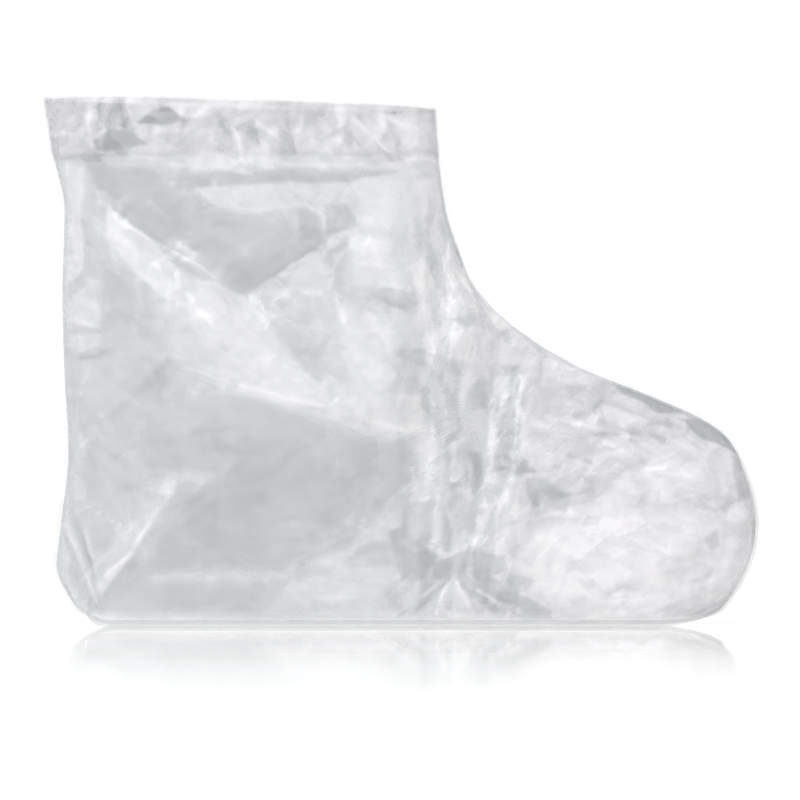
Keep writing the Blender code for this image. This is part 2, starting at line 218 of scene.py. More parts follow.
LOWER_LEG_PANES = (
    (-1.0, 7, ((104, 420), (126, 396), (160, 357), (178, 366), (152, 412))),
    (-0.65, 10, ((130, 470), (160, 436), (196, 376), (262, 400), (340, 412), (412, 446), (398, 476))),
    (-0.55, 14, ((104, 500), (120, 400), (186, 380), (186, 440), (150, 490))),
    (
        -0.85,
        20,
        ((180, 490), (244, 462), (400, 470), (372, 516), (320, 551), (268, 575), (150, 577), (152, 540)),
    ),
    (-1.0, 7, ((362, 446), (402, 438), (406, 482), (374, 506), (350, 470))),
    (-0.9, 6, ((208, 438), (280, 440), (270, 458), (214, 452))),
    (-0.35, 12, ((112, 520), (170, 480), (200, 482), (160, 530), (104, 572))),
    (0.3, 4, ((94, 586), (128, 550), (134, 553), (100, 590))),
    (-0.8, 7, ((160, 586), (240, 588), (262, 600), (240, 612), (160, 614))),
    (-0.15, 6, ((145, 574), (290, 572), (285, 582), (150, 582))),
    (0.0, 10, ((284, 584), (380, 566), (420, 598), (388, 616), (262, 616))),
    (-0.8, 12, ((236, 560), (320, 530), (352, 518), (354, 544), (300, 570))),
    (-0.5, 7, ((344, 564), (370, 540), (386, 544), (392, 566), (350, 570))),
)
ANKLE_PANES = (
    (-0.8, 6, ((400, 505), (433, 503), (430, 545), (400, 535))),
    (-1.0, 7, ((384, 528), (406, 526), (432, 556), (422, 582), (400, 581))),
    (-1.0, 5, ((430, 562), (465, 548), (503, 556), (504, 570), (468, 582), (430, 580))),
    (-0.4, 6, ((402, 229), (424, 231), (440, 262), (437, 279), (416, 279), (416, 252))),
    (1.1, 6, ((428, 170), (440, 172), (456, 262), (478, 300), (500, 332), (488, 338), (446, 268))),
    (0.3, 5, ((438, 257), (448, 257), (450, 300), (443, 320), (436, 300))),
    (-0.5, 5, ((450, 240), (457, 240), (465, 262), (458, 270), (450, 258))),
    (0.12, 6, ((388, 312), (420, 310), (424, 350), (396, 348))),
    (-0.8, 4, ((394, 350), (420, 350), (462, 370), (460, 383), (424, 368), (396, 362))),
    (-0.3, 6, ((392, 383), (400, 378), (428, 385), (426, 398), (402, 393))),
    (1.0, 8, ((392, 396), (420, 396), (420, 430), (396, 430))),
    (-1.1, 4, ((429, 370), (440, 370), (453, 400), (456, 440), (446, 446), (432, 410))),
    (-0.1, 3, ((421, 395), (430, 394), (440, 430), (450, 470), (442, 466), (424, 420))),
    (-0.6, 4, ((442, 321), (480, 314), (483, 330), (462, 328))),
    (1.0, 5, ((446, 334), (470, 329), (466, 362), (448, 362))),
    (0.0, 5, ((484, 340), (505, 352), (503, 379), (486, 381))),
    (0.18, 5, ((511, 338), (541, 350), (541, 364), (524, 382), (510, 378))),
    (-0.6, 4, ((466, 384), (502, 380), (500, 412), (470, 411))),
    (-0.7, 5, ((506, 384), (530, 392), (524, 413), (508, 408))),
    (0.3, 4, ((455, 390), (466, 390), (468, 440), (458, 446))),
    (-0.9, 6, ((488, 364), (520, 366), (520, 478), (496, 478))),
    (-0.9, 4, ((460, 452), (479, 456), (479, 486), (470, 500), (462, 482))),
    (-1.6, 3, ((500, 474), (506, 463), (528, 461), (533, 474))),
    (0.3, 5, ((498, 480), (521, 477), (524, 520), (500, 540))),
    (-0.1, 5, ((440, 490), (462, 500), (462, 550), (438, 530))),
    (-0.5, 4, ((466, 514), (482, 512), (478, 540), (468, 534))),
    (-0.5, 6, ((446, 572), (470, 572), (500, 612), (452, 614))),
    (-1.2, 4, ((466, 572), (482, 574), (548, 612), (548, 624), (520, 622))),
    (-0.8, 3, ((449, 392), (455, 392), (458, 440), (452, 440))),
    (-1.0, 3, ((443, 484), (456, 485), (457, 491), (446, 493))),
    (0.5, 3, ((422, 544), (432, 544), (448, 555), (440, 559))),
)
FOOT_PANES = (
    (0.5, 7, ((552, 352), (575, 362), (606, 380), (590, 392), (556, 384))),
    (0.2, 8, ((538, 392), (600, 396), (570, 424), (530, 426))),
    (-0.6, 8, ((566, 390), (606, 394), (602, 424), (572, 420))),
    (0.5, 8, ((580, 456), (640, 446), (640, 462), (600, 478), (570, 478))),
    (-0.6, 6, ((596, 426), (640, 426), (640, 440), (596, 440))),
    (-0.5, 8, ((640, 438), (674, 438), (670, 470), (644, 468))),
    (0.3, 8, ((524, 440), (552, 440), (550, 466), (526, 470))),
    (0.3, 7, ((600, 404), (636, 404), (656, 420), (640, 430), (604, 424))),
    (0.1, 6, ((610, 438), (652, 438), (668, 450), (620, 450))),
    (-0.8, 6, ((521, 478), (545, 480), (572, 500), (564, 516), (532, 517))),
    (-0.5, 12, ((580, 482), (660, 476), (650, 512), (590, 516))),
    (0.3, 8, ((668, 440), (720, 448), (728, 490), (670, 480))),
    (-0.5, 5, ((700, 490), (716, 490), (710, 500), (700, 500))),
    (
        0.5,
        14,
        ((660, 440), (735, 455), (756, 520), (750, 590), (690, 614), (560, 620), (520, 590), (600, 500)),
    ),
    (
        0.95,
        14,
        ((532, 534), (600, 520), (712, 512), (738, 546), (725, 592), (640, 606), (550, 600), (512, 566)),
    ),
    (-0.3, 5, ((704, 538), (716, 530), (720, 548), (710, 556))),
    (0.6, 8, ((606, 594), (624, 584), (642, 588), (640, 598))),
    (1.1, 16, ((640, 550), (700, 550), (690, 590), (640, 592))),
    (-1.4, 4, ((607, 377), (664, 393), (708, 414), (660, 415), (622, 394))),
    (-1.7, 4, ((680, 422), (712, 420), (738, 440), (742, 453), (704, 440))),
    (-0.8, 5, ((735, 458), (744, 462), (750, 498), (741, 502))),
    (-1.6, 3, ((752, 520), (758, 522), (760, 555), (753, 576), (755, 545))),
    (0.8, 8, ((640, 594), (700, 588), (720, 600), (690, 610), (650, 612))),
    (-1.4, 3, ((684, 616), (722, 606), (741, 591), (736, 602), (718, 614), (690, 620))),
    (-1.0, 4, ((476, 588), (492, 592), (550, 624), (520, 622))),
    (-0.4, 6, ((500, 572), (534, 580), (520, 592), (500, 590))),
)
HEM_PANES = (
    (-0.2, 6, ((66, 104), (84, 102), (97, 128), (78, 150), (70, 132))),
    (-0.7, 5, ((101, 103), (132, 102), (124, 130), (98, 128))),
    (-1.4, 5, ((92, 138), (106, 129), (130, 133), (144, 148), (118, 152), (94, 149))),
    (-1.5, 4, ((137, 122), (150, 109), (166, 107), (182, 120), (160, 125))),
    (0.7, 5, ((163, 103), (208, 104), (196, 117), (180, 116))),
    (0.1, 7, ((182, 152), (238, 156), (232, 172), (186, 170))),
    (0.5, 5, ((258, 140), (268, 146), (274, 170), (256, 168))),
    (-0.5, 4, ((232, 130), (252, 120), (256, 134), (244, 152))),
    (-0.5, 4, ((274, 150), (288, 132), (294, 152), (284, 162))),
    (0.0, 8, ((298, 118), (338, 116), (326, 150), (304, 142))),
    (-0.5, 4, ((334, 130), (346, 120), (350, 150), (342, 146))),
    (-0.9, 3, ((376, 146), (394, 154), (406, 168), (394, 166))),
    (0.9, 10, ((384, 112), (440, 108), (440, 164), (404, 150))),
    (0.5, 5, ((404, 146), (436, 150), (438, 160), (408, 158))),
    (-0.3, 2, ((252, 104), (400, 109), (400, 112), (252, 107))),
)
PANES = BACK_PANES + BILLOW_PANES + BAND_PANES + LOWER_LEG_PANES + ANKLE_PANES + FOOT_PANES + HEM_PANES

# Sharp creases, in pixels of the picture: from (x1, y1) to (x2, y2), with width and height in
# millimetres. A height above 0 is a ridge and one below 0 is a valley; a ridge gets a painted highlight along
# it and a valley painted shade.
CREASE_COLUMNS = ("x1", "y1", "x2", "y2", "width", "height")
CREASES = (
    (485, 488, 505, 392, 1.6, 0.9),
    (434, 387, 454, 463, 1.8, 1.3),
    (452, 346, 459, 458, 1.8, -1.2),
    (469, 448, 464, 519, 1.6, 1.2),
    (440, 500, 448, 560, 1.8, -1.0),
    (478, 520, 470, 572, 1.8, 1.0),
    (60, 520, 102, 618, 1.4, 1.9),
    (68, 520, 100, 598, 1.4, -1.6),
    (76, 524, 106, 612, 1.4, 1.3),
    (97, 586, 128, 555, 1.8, 1.2),
    (128, 555, 153, 519, 1.8, 1.0),
    (452, 575, 383, 621, 1.6, 1.8),
    (452, 575, 403, 621, 1.6, -1.8),
    (452, 575, 430, 621, 1.5, 1.8),
    (452, 575, 446, 621, 1.4, -1.5),
    (452, 575, 474, 621, 1.5, 1.7),
    (452, 575, 505, 621, 1.6, -1.8),
    (452, 575, 530, 621, 1.6, 1.8),
    (452, 575, 548, 622, 1.6, -1.5),
    (104, 102, 96, 152, 1.4, 0.9),
    (118, 100, 124, 150, 1.4, -0.7),
    (181, 104, 172, 134, 1.4, 0.7),
    (232, 120, 240, 160, 1.4, 0.8),
    (284, 112, 292, 160, 1.4, -0.8),
    (300, 112, 296, 140, 1.4, 0.7),
    (372, 112, 420, 132, 1.4, 0.6),
    (400, 160, 438, 156, 1.4, 0.8),
    (436, 380, 470, 470, 1.3, 1.2),
    (458, 440, 480, 476, 1.3, -1.0),
    (420, 392, 452, 470, 1.3, -1.1),
    (450, 480, 466, 500, 1.3, 0.9),
    (515, 400, 500, 480, 1.4, -0.9),
    (528, 370, 506, 440, 1.4, 0.8),
    (347, 116, 403, 167, 1.4, 1.2),
    (352, 112, 380, 150, 1.4, -0.8),
    (255, 121, 278, 142, 1.4, 0.9),
    (253, 126, 258, 154, 1.4, -0.7),
    (85, 100, 88, 138, 1.4, 0.8),
    (94, 100, 98, 140, 1.4, -0.8),
    (128, 100, 131, 132, 1.4, 0.8),
    (340, 112, 336, 150, 1.4, 0.6),
    (316, 206, 326, 236, 1.6, 0.8),
    (102, 213, 240, 295, 2.2, 1.0),
    (240, 295, 357, 216, 2.2, -0.8),
    (168, 366, 337, 412, 2.2, 1.0),
    (337, 412, 424, 438, 2.0, 1.0),
    (332, 295, 345, 330, 2.0, 0.8),
    (490, 310, 543, 356, 1.6, 0.9),
    (543, 352, 536, 388, 1.6, -0.8),
    (520, 483, 541, 514, 1.8, -0.9),
    (541, 514, 577, 514, 1.8, 0.8),
    (561, 422, 658, 443, 1.8, 0.8),
    (600, 400, 690, 432, 1.8, -0.8),
    (640, 470, 700, 480, 1.6, 0.7),
    (692, 582, 728, 570, 1.4, -0.9),
    (600, 436, 648, 433, 1.4, -0.7),
    (648, 433, 666, 445, 1.4, -0.7),
    (625, 442, 650, 440, 1.3, -0.5),
    (545, 496, 574, 494, 1.4, -0.7),
    (574, 494, 596, 487, 1.4, -0.6),
    (670, 497, 692, 505, 1.5, -0.9),
    (692, 505, 722, 512, 1.3, -0.5),
    (722, 512, 734, 505, 1.3, -0.9),
    (565, 455, 577, 459, 1.3, -0.7),
    (580, 460, 594, 463, 1.3, -0.6),
    (550, 467, 563, 472, 1.2, -0.7),
    (588, 414, 603, 398, 1.4, -0.7),
    (572, 418, 590, 413, 1.3, -0.6),
    (602, 598, 620, 588, 1.5, -0.6),
    (620, 588, 640, 590, 1.5, -0.5),
    (487, 470, 502, 394, 1.2, 0.9),
    (438, 432, 450, 456, 1.1, 0.9),
    (444, 440, 458, 464, 1.2, -0.9),
    (421, 396, 430, 434, 1.2, -0.8),
    (436, 578, 392, 620, 1.3, -0.9),
    (418, 254, 423, 325, 1.8, 0.9),
    (441, 213, 444, 315, 1.8, -0.9),
    (460, 262, 476, 330, 1.6, 0.8),
    (428, 300, 432, 380, 1.8, 0.8),
    (378, 300, 410, 312, 1.5, -0.8),
    (66, 320, 100, 330, 1.5, 0.6),
    (62, 360, 110, 352, 1.5, -0.6),
)

# Where the film is crumpled: places and reach in pixels of the picture, and how strongly
CRUMPLED_COLUMNS = ("x", "y", "reach_x", "reach_y", "strength")
CRUMPLED_ZONES = (
    (240, 130, 240, 34, 0.9),
    (455, 420, 50, 150, 0.8),
    (620, 440, 110, 60, 1.0),
    (455, 590, 110, 40, 0.8),
    (70, 380, 26, 220, 0.7),
    (385, 300, 60, 80, 0.5),
    (520, 350, 60, 50, 0.8),
    (720, 560, 50, 60, 0.6),
)
CALM_CRUMPLE = 0.55
MOST_CRUMPLE = 1.1

# Crumple layers: facet size and height in metres, how many times longer the facets are than wide, the
# angle of their long side from X in degrees, the part of the bootie and a seed
LAYER_COLUMNS = ("size", "height", "stretch", "angle", "part", "seed")
CRUMPLE_LAYERS = (
    (0.034, 0.0022, 2.4, -48, "leg", 11),
    (0.016, 0.0012, 2.0, -35, "leg", 12),
    (0.0085, 0.0007, 2.2, 20, "leg", 13),
    (0.013, 0.0028, 4.2, 86, "ankle", 14),
    (0.0065, 0.0012, 4.5, 80, "ankle", 15),
    (0.030, 0.0028, 2.0, -12, "foot", 16),
    (0.015, 0.0020, 2.2, 22, "foot", 17),
    (0.0085, 0.0011, 1.8, -20, "foot", 18),
    (0.014, 0.0022, 1.8, 74, "hem", 19),
    (0.007, 0.0010, 2.0, 58, "hem", 20),
)

# Small panes of slightly different film: the same columns, with a change of tone in place of the height
PATCH_LAYERS = (
    (0.026, 0.12, 2.6, -46, "leg", 71),
    (0.011, 0.13, 3.0, -44, "leg", 72),
    (0.006, 0.08, 2.4, -20, "leg", 73),
    (0.009, 0.40, 5.0, 84, "ankle", 74),
    (0.0045, 0.45, 6.0, 81, "ankle", 75),
    (0.012, 0.30, 2.0, 70, "hem", 79),
    (0.0055, 0.30, 2.4, 55, "hem", 80),
    (0.018, 0.25, 2.2, -15, "foot", 76),
    (0.009, 0.30, 2.6, 20, "foot", 77),
    (0.0045, 0.25, 2.4, -25, "foot", 78),
)
ANKLE_MIDDLE, ANKLE_REACH = 468, 62  # pixels of the picture
ANKLE_BELOW_TOP, ANKLE_FADE = 0.04, 0.03  # metres

# How the creases of the table are drawn, and how strongly a painted highlight lies along a ridge and painted
# shade along a valley
CREASE_SHARPNESS = 1.3  # their width is multiplied by this
CREASE_TAPER = 0.25  # height left at a crease's ends, as a share
CREASE_WARP, CREASE_WARP_SIZE = 0.0012, 0.012  # metres
# Strength of the painted highlight on ridges and painted shade in valleys, for the table's creases and the
# small ones
CREASE_HIGHLIGHT_AND_SHADE, SMALL_HIGHLIGHT_AND_SHADE = 0.75, 0.6
PAINTED_LINE_WIDTH = 0.0009  # metres

# Short random creases: least size and how much more at most, in metres
SMALL_CREASES = 260
SMALL_LENGTH = (0.006, 0.030)
SMALL_WIDTH = (0.0011, 0.0010)
SMALL_HEIGHT = (0.0003, 0.0006)
SMALL_RIDGES = 0.6  # share of them that are ridges
SEED = 7
OTHER_SEED = 100  # added to it for the far side

# How the outlines of the panes wander: how far and over what length, in metres, coarse and fine
PANE_WANDER = ((0.0018, 0.018), (0.0006, 0.006))

# Small gathers that run in from the weld, in metres
PUCKER_STEP = 0.0075
PUCKER_HEIGHT = 0.0013
PUCKER_START, PUCKER_REACH = 0.004, 0.012
PUCKER_WANDER, PUCKER_PATCH = 0.030, 0.045

# Where the creases and their painted highlights and shade start: metres from the weld and from the floor
CREASE_FREE_EDGE = 0.010
PAINTED_LINE_FREE_EDGE = 0.006
FLOOR_CLEAR, FLOOR_RISE = 0.0005, 0.006


def place_x(spans):
    """Metres along X: up to 1 in leg depths, and beyond it in forefoot lengths."""
    return LEG_DEPTH * np.minimum(spans, 1) + FOREFOOT * np.maximum(np.asarray(spans) - 1, 0)


def place_z(spans):
    """Metres above the floor: up to 1 in instep heights, and beyond it in leg rises."""
    return INSTEP_HEIGHT * np.minimum(spans, 1) + LEG_RISE * np.maximum(np.asarray(spans) - 1, 0)


def from_picture(x, y):
    """A place in the picture as metres along X from the bootie's left end, and as a height."""
    x = PICTURE_MIDDLE + (x - PICTURE_MIDDLE) / NEAR_SCALE
    y = PICTURE_MIDDLE + (y - PICTURE_MIDDLE) / NEAR_SCALE
    return (x - PICTURE_LEFT) * METRES_PER_PIXEL, (PICTURE_SOLE - y) * METRES_PER_PIXEL


def read_between(values, at):
    """Reads a table's column between its rows, smoothly and without overshoot."""
    steps = np.diff(values)
    before, after = steps[:-1], steps[1:]
    same_way = before * after > 0
    total = np.where(same_way, before + after, 1)
    middle = np.where(same_way, 2 * before * after / total, 0)
    slopes = np.concatenate([steps[:1], middle, steps[-1:]])
    row = np.clip(np.floor(at).astype(int), 0, len(steps) - 1)
    t = at - row
    rise = t * t * (3 - 2 * t)
    start = t * (1 - t) ** 2
    end = t * t * (t - 1)
    return values[row] + rise * steps[row] + start * slopes[row] + end * slopes[row + 1]


def column(table, names, name):
    """One named column of a table."""
    return np.array([row[names.index(name)] for row in table], float)


def fade(share):
    """A smooth step from 0 to 1."""
    share = np.clip(share, 0, 1)
    return share * share * (3 - 2 * share)


def distance_to_line(x, z, x1, z1, x2, z2):
    """The distance from each place to a stretch of line, and the share of the way along it."""
    along_x, along_z = x2 - x1, z2 - z1
    share = ((x - x1) * along_x + (z - z1) * along_z) / (along_x**2 + along_z**2)
    share = np.clip(share, 0, 1)
    return np.hypot(x - x1 - share * along_x, z - z1 - share * along_z), share


def chance(cells, seed):
    """An even random number from 0 to 1 for each whole-numbered cell, always the same."""
    mixed = cells[..., 0] * 73856093 ^ cells[..., 1] * 19349663 ^ cells[..., 2] * 83492791 ^ seed * 9176513
    mixed = mixed & 0xFFFFFFFF
    mixed = ((mixed ^ (mixed >> 15)) * 2246822519) & 0xFFFFFFFF
    mixed = ((mixed ^ (mixed >> 13)) * 3266489917) & 0xFFFFFFFF
    return ((mixed ^ (mixed >> 16)) & 0xFFFFFF) / 0xFFFFFF


def cloud(points, size, seed):
    """Smooth random values from -1 to 1 through space, with features of about that size."""
    place = points / size
    base = np.floor(place).astype(np.int64)
    t = place - base
    t = t * t * (3 - 2 * t)
    total = 0
    for corner in np.ndindex(2, 2, 2):
        weight = np.prod(np.where(corner, t, 1 - t), axis=-1)
        total = total + weight * chance(base + np.array(corner), seed)
    return total * 2 - 1


def nearest_point(place, seed):
    """The squared distance to the nearest scattered point, one for each unit cell, and its random value."""
    base = np.floor(place).astype(np.int64)
    nearest = np.full(place.shape[:-1], 9.0)
    held = np.zeros(place.shape[:-1])
    for step in np.ndindex(3, 3, 3):
        cell = base + np.array(step) - 1
        centre = np.stack([chance(cell, seed + k) for k in (0, 101, 202)], axis=-1) + cell
        squared = ((place - centre) ** 2).sum(axis=-1)
        held = np.where(squared < nearest, chance(cell, seed + 303) * 2 - 1, held)
        nearest = np.minimum(nearest, squared)
    return nearest, held


def facets(points, size, seed):
    """A field of flat facets that meet in sharp ridges and valleys, from about -1 to 1.

    The squared distances to two sets of points differ by a plane wherever neither nearest point changes.
    """
    return nearest_point(points / size, seed)[0] - nearest_point(points / size, seed + 1000)[0]


def fold_height(x, z, side):
    """How far the large folds push the film out, in metres."""
    shift = OTHER_SIDE_SHIFT * LEG_DEPTH if side > 0 else 0
    scale = OTHER_SIDE_DEPTH if side > 0 else 1
    height = np.zeros_like(x)
    for x1, z1, x2, z2, width, depth in FOLDS:
        ends = (place_x(x1) - shift, place_z(z1), place_x(x2) - shift, place_z(z2))
        away, _ = distance_to_line(x, z, *ends)
        height += depth * np.exp(-((away / (width * HALF_WIDTH)) ** 2))
    return height * FOLD_DEPTH * scale


def row_places(count):
    """The table places of evenly spaced rows, and how far down from the opening each one lies."""
    fine = np.linspace(0, len(SECTIONS) - 1, TABLE_STEPS)
    travelled = np.zeros(TABLE_STEPS)
    for end in ("back", "front"):
        x = place_x(read_between(column(SECTIONS, SECTION_COLUMNS, end + "_x"), fine))
        z = place_z(read_between(column(SECTIONS, SECTION_COLUMNS, end + "_z"), fine))
        travelled[1:] += np.cumsum(np.hypot(np.diff(x), np.diff(z))) / 2
    down = np.linspace(0, travelled[-1], count + 1)
    return np.interp(down, travelled, fine), down


def plain_surface(side):
    """A film sheet with its large folds only, as a grid of points, rows from the opening to the toe."""
    rows, down = row_places(ROWS)
    rows = rows[:, None]
    across = np.linspace(0, len(PROFILE) - 1, COLUMNS + 1)[None, :]
    read = {name: read_between(column(SECTIONS, SECTION_COLUMNS, name), rows) for name in SECTION_COLUMNS}
    shape = {name: read_between(column(PROFILE, PROFILE_COLUMNS, name), across) for name in PROFILE_COLUMNS}
    flat = fade(read["flat"])
    share = (1 - flat) * shape["leaf_across"] + flat * shape["floor_across"]
    half = (1 - flat) * shape["leaf_half"] + flat * shape["floor_half"]
    back_x, back_z = place_x(read["back_x"]), place_z(read["back_z"])
    along_x = place_x(read["front_x"]) - back_x
    along_z = place_z(read["front_z"]) - back_z
    bend = read["bow"] * 4 * share * (1 - share)
    x = back_x + along_x * share + along_z * bend
    z = back_z + along_z * share - along_x * bend
    reach = (HALF_WIDTH - FILM_EDGE) * read["half"] * half
    folds = fold_height(x, z, side) * fade(reach / (FOLD_FREE_EDGE * HALF_WIDTH))
    y = side * (FILM_EDGE + reach + folds)
    return np.stack([x, y, z], axis=-1), down


def outward_normals(surface, side):
    """The direction out of the bootie at each point of a sheet."""
    normal = np.cross(np.gradient(surface, axis=0), np.gradient(surface, axis=1)) * -side
    return normal / (np.linalg.norm(normal, axis=-1)[..., None] + 1e-12)


def edge_distance(surface):
    """How far each point lies from the weld, along the film, and how far along the weld it is."""
    run_down = np.linalg.norm(np.diff(surface, axis=0), axis=-1)
    run_across = np.linalg.norm(np.diff(surface, axis=1), axis=-1)
    from_back = np.concatenate([np.zeros((ROWS + 1, 1)), np.cumsum(run_across, axis=1)], axis=1)
    from_front = from_back[:, -1:] - from_back
    down = np.concatenate([np.zeros((1, COLUMNS + 1)), np.cumsum(run_down, axis=0)], axis=0)
    from_toe = down[-1:] - down
    along = np.where(from_back < from_front, down[:, :1], down[:, -1:])
    toe_first = from_toe < np.minimum(from_back, from_front)
    along = np.where(toe_first, from_back[-1:], along)
    return np.minimum(np.minimum(from_back, from_front), from_toe), along


def crumple_strength(x, z):
    """How strongly the film is crumpled at each place."""
    strength = np.full_like(x, CALM_CRUMPLE)
    for row in CRUMPLED_ZONES:
        zone = dict(zip(CRUMPLED_COLUMNS, row))
        zone_x, zone_z = from_picture(zone["x"], zone["y"])
        away = np.hypot(
            (x - zone_x) / (zone["reach_x"] * METRES_PER_PIXEL),
            (z - zone_z) / (zone["reach_y"] * METRES_PER_PIXEL),
        )
        strength = np.maximum(strength, zone["strength"] * fade(1.4 - away))
    return np.minimum(strength, MOST_CRUMPLE)


def inside_pane(x, z, corners, soft):
    """1 inside a convex outline and 0 outside it, with an edge of that width, all in metres."""
    middle_x, middle_z = np.mean(corners, axis=0)
    beyond = np.full_like(x, -1.0)
    for (x1, z1), (x2, z2) in zip(corners, corners[1:] + corners[:1]):
        out_x, out_z = z2 - z1, x1 - x2
        length = math.hypot(out_x, out_z)
        turned = -1 if out_x * (middle_x - x1) + out_z * (middle_z - z1) > 0 else 1
        beyond = np.maximum(beyond, turned * ((x - x1) * out_x + (z - z1) * out_z) / length)
    return fade(0.5 - beyond / soft)


def pane_tone(x, z, points, side):
    """How milky the film looks at each place, from -1 clear to 1 milky, with painted light and painted shade
    in the same value: bright and dark patches where the creased film is lit or shaded.
    """
    shift = OTHER_SIDE_SHIFT * LEG_DEPTH if side > 0 else 0
    (coarse, coarse_size), (fine, fine_size) = PANE_WANDER
    x = x + coarse * cloud(points, coarse_size, 31) + fine * cloud(points, fine_size, 32) + shift
    z = z + coarse * cloud(points, coarse_size, 33) + fine * cloud(points, fine_size, 34)
    tone = np.zeros_like(x)
    for row in PANES:
        pane = dict(zip(PANE_COLUMNS, row))
        corners = [from_picture(*corner) for corner in pane["corners"]]
        inside = inside_pane(x, z, corners, pane["soft"] * METRES_PER_PIXEL)
        tone = tone * (1 - inside) + pane["tone"] * inside
    for row in PATCH_LAYERS:
        layer = dict(zip(LAYER_COLUMNS, row))
        held = nearest_point(drawn_out(points, layer), layer["seed"])[1]
        tone = tone + layer["height"] * part_share(points, layer["part"]) * held
    return tone


def crease_height(x, z, points, side):
    """Sharp creases, those that the picture shows and many short ones, and the painted highlights on their
    ridges and painted shade in their valleys.
    """
    shift = OTHER_SIDE_SHIFT * LEG_DEPTH if side > 0 else 0
    warped_x = x + CREASE_WARP * cloud(points, CREASE_WARP_SIZE, 41) + shift
    warped_z = z + CREASE_WARP * cloud(points, CREASE_WARP_SIZE, 42)
    height = np.zeros_like(x)
    crease_highlight_and_shade = np.zeros_like(x)
    for row in CREASES:
        crease = dict(zip(CREASE_COLUMNS, row))
        ends = (*from_picture(crease["x1"], crease["y1"]), *from_picture(crease["x2"], crease["y2"]))
        away, share = distance_to_line(warped_x, warped_z, *ends)
        taper = CREASE_TAPER + (1 - CREASE_TAPER) * fade(4 * share) * fade(4 * (1 - share))
        width = crease["width"] * CREASE_SHARPNESS * 0.001
        height += crease["height"] * 0.001 * taper / np.cosh(away / width)
        crease_highlight_and_shade += math.copysign(CREASE_HIGHLIGHT_AND_SHADE, crease["height"]) * taper / np.cosh(away / PAINTED_LINE_WIDTH)
    random = np.random.default_rng(SEED + (OTHER_SEED if side > 0 else 0))
    for _ in range(SMALL_CREASES):
        start = random.random(2) * (LEG_DEPTH + FOREFOOT, INSTEP_HEIGHT + LEG_RISE)
        angle = random.random() * math.pi
        length = SMALL_LENGTH[0] + SMALL_LENGTH[1] * random.random() ** 2
        width = SMALL_WIDTH[0] + SMALL_WIDTH[1] * random.random()
        tall = SMALL_HEIGHT[0] + SMALL_HEIGHT[1] * random.random()
        tall = tall if random.random() < SMALL_RIDGES else -tall
        end = start + length * np.array([math.cos(angle), math.sin(angle)])
        near = (np.abs(warped_x - (start[0] + end[0]) / 2) < length) & (
            np.abs(warped_z - (start[1] + end[1]) / 2) < length
        )
        if not near.any():
            continue
        away, share = distance_to_line(warped_x[near], warped_z[near], *start, *end)
        taper = fade(3 * share) * fade(3 * (1 - share))
        strength = crumple_strength(warped_x[near], warped_z[near])
        height[near] += tall * strength * taper / np.cosh(away / width)
        crease_highlight_and_shade[near] += math.copysign(SMALL_HIGHLIGHT_AND_SHADE, tall) * strength * taper / np.cosh(away / PAINTED_LINE_WIDTH)
    return height, crease_highlight_and_shade


def part_share(points, part):
    """How far each place belongs to the hem, the leg, the ankle or the foot, from 0 to 1."""
    middle_x, _ = from_picture(ANKLE_MIDDLE, 0)
    reach = ANKLE_REACH * METRES_PER_PIXEL
    off_middle = points[..., 0] - middle_x
    top = place_z(2.0)
    hem = fade((points[..., 2] - (top - HEM_HEIGHT - HEM_FADE)) / HEM_FADE)
    ankle = fade(1.5 - np.abs(off_middle) / reach)
    ankle = ankle * fade((top - ANKLE_BELOW_TOP - points[..., 2]) / ANKLE_FADE)
    if part == "hem":
        return hem
    if part == "ankle":
        return ankle
    return (1 - ankle) * (1 - hem) * (off_middle > 0 if part == "foot" else off_middle <= 0)


def drawn_out(points, layer):
    """Places in units of a layer's facets, which are longer along the layer's angle."""
    angle = math.radians(layer["angle"])
    along = points[..., 0] * math.cos(angle) + points[..., 2] * math.sin(angle)
    across = points[..., 2] * math.cos(angle) - points[..., 0] * math.sin(angle)
    warp = cloud(points, layer["size"] * 3, layer["seed"] + 1) * layer["size"] * 0.5
    return np.stack([along / layer["stretch"], points[..., 1], across + warp], axis=-1) / layer["size"]


def crumple_height(points, strength):
    """Flat facets between sharp ridges, in two or three sizes for each part of the bootie."""
    height = np.zeros(points.shape[:-1])
    for row in CRUMPLE_LAYERS:
        layer = dict(zip(LAYER_COLUMNS, row))
        calm = 0.35 + 0.65 * fade(0.5 + cloud(points, layer["size"] * 3, layer["seed"] + 4))
        place = drawn_out(points, layer)
        height += layer["height"] * calm * part_share(points, layer["part"]) * facets(place, 1, layer["seed"])
    return height * strength


def pucker_height(away, along, points):
    """Small gathers that run in from the weld."""
    phase = along / PUCKER_STEP + 1.5 * cloud(points, PUCKER_WANDER, 51)
    amount = 0.5 + 0.5 * cloud(points, PUCKER_PATCH, 52)
    wave = np.abs((phase % 1) * 2 - 1) - 0.5
    return PUCKER_HEIGHT * wave * amount * fade(away / PUCKER_START) * np.exp(-away / PUCKER_REACH)


def creased_surface(side):
    """A film sheet with all its folds, creases and puckers, its normals and its tone, which is milkiness with
    painted light and shade.
    """
    surface, down = plain_surface(side)
    x, z = surface[..., 0], surface[..., 2]
    away, along = edge_distance(surface)
    tone = pane_tone(x, z, surface, side)
    height = crumple_height(surface, crumple_strength(x, z))
    creases, crease_highlights_and_shade = crease_height(x, z, surface, side)
    height += creases
    # Painted highlights along ridges and painted shade along valleys, added to the tone
    tone += crease_highlights_and_shade * fade(away / PAINTED_LINE_FREE_EDGE)
    height *= fade(away / CREASE_FREE_EDGE)
    height += pucker_height(away, along, surface)
    above_floor = fade((z - FLOOR_CLEAR) / FLOOR_RISE)
    normal = outward_normals(surface, side)
    surface = surface + normal * (height * above_floor)[..., None]
    surface[..., 1] = side * np.maximum(surface[..., 1] * side, FILM_EDGE)
    surface[..., 2] = np.maximum(surface[..., 2], 0)
    return surface, outward_normals(surface, side), tone, down


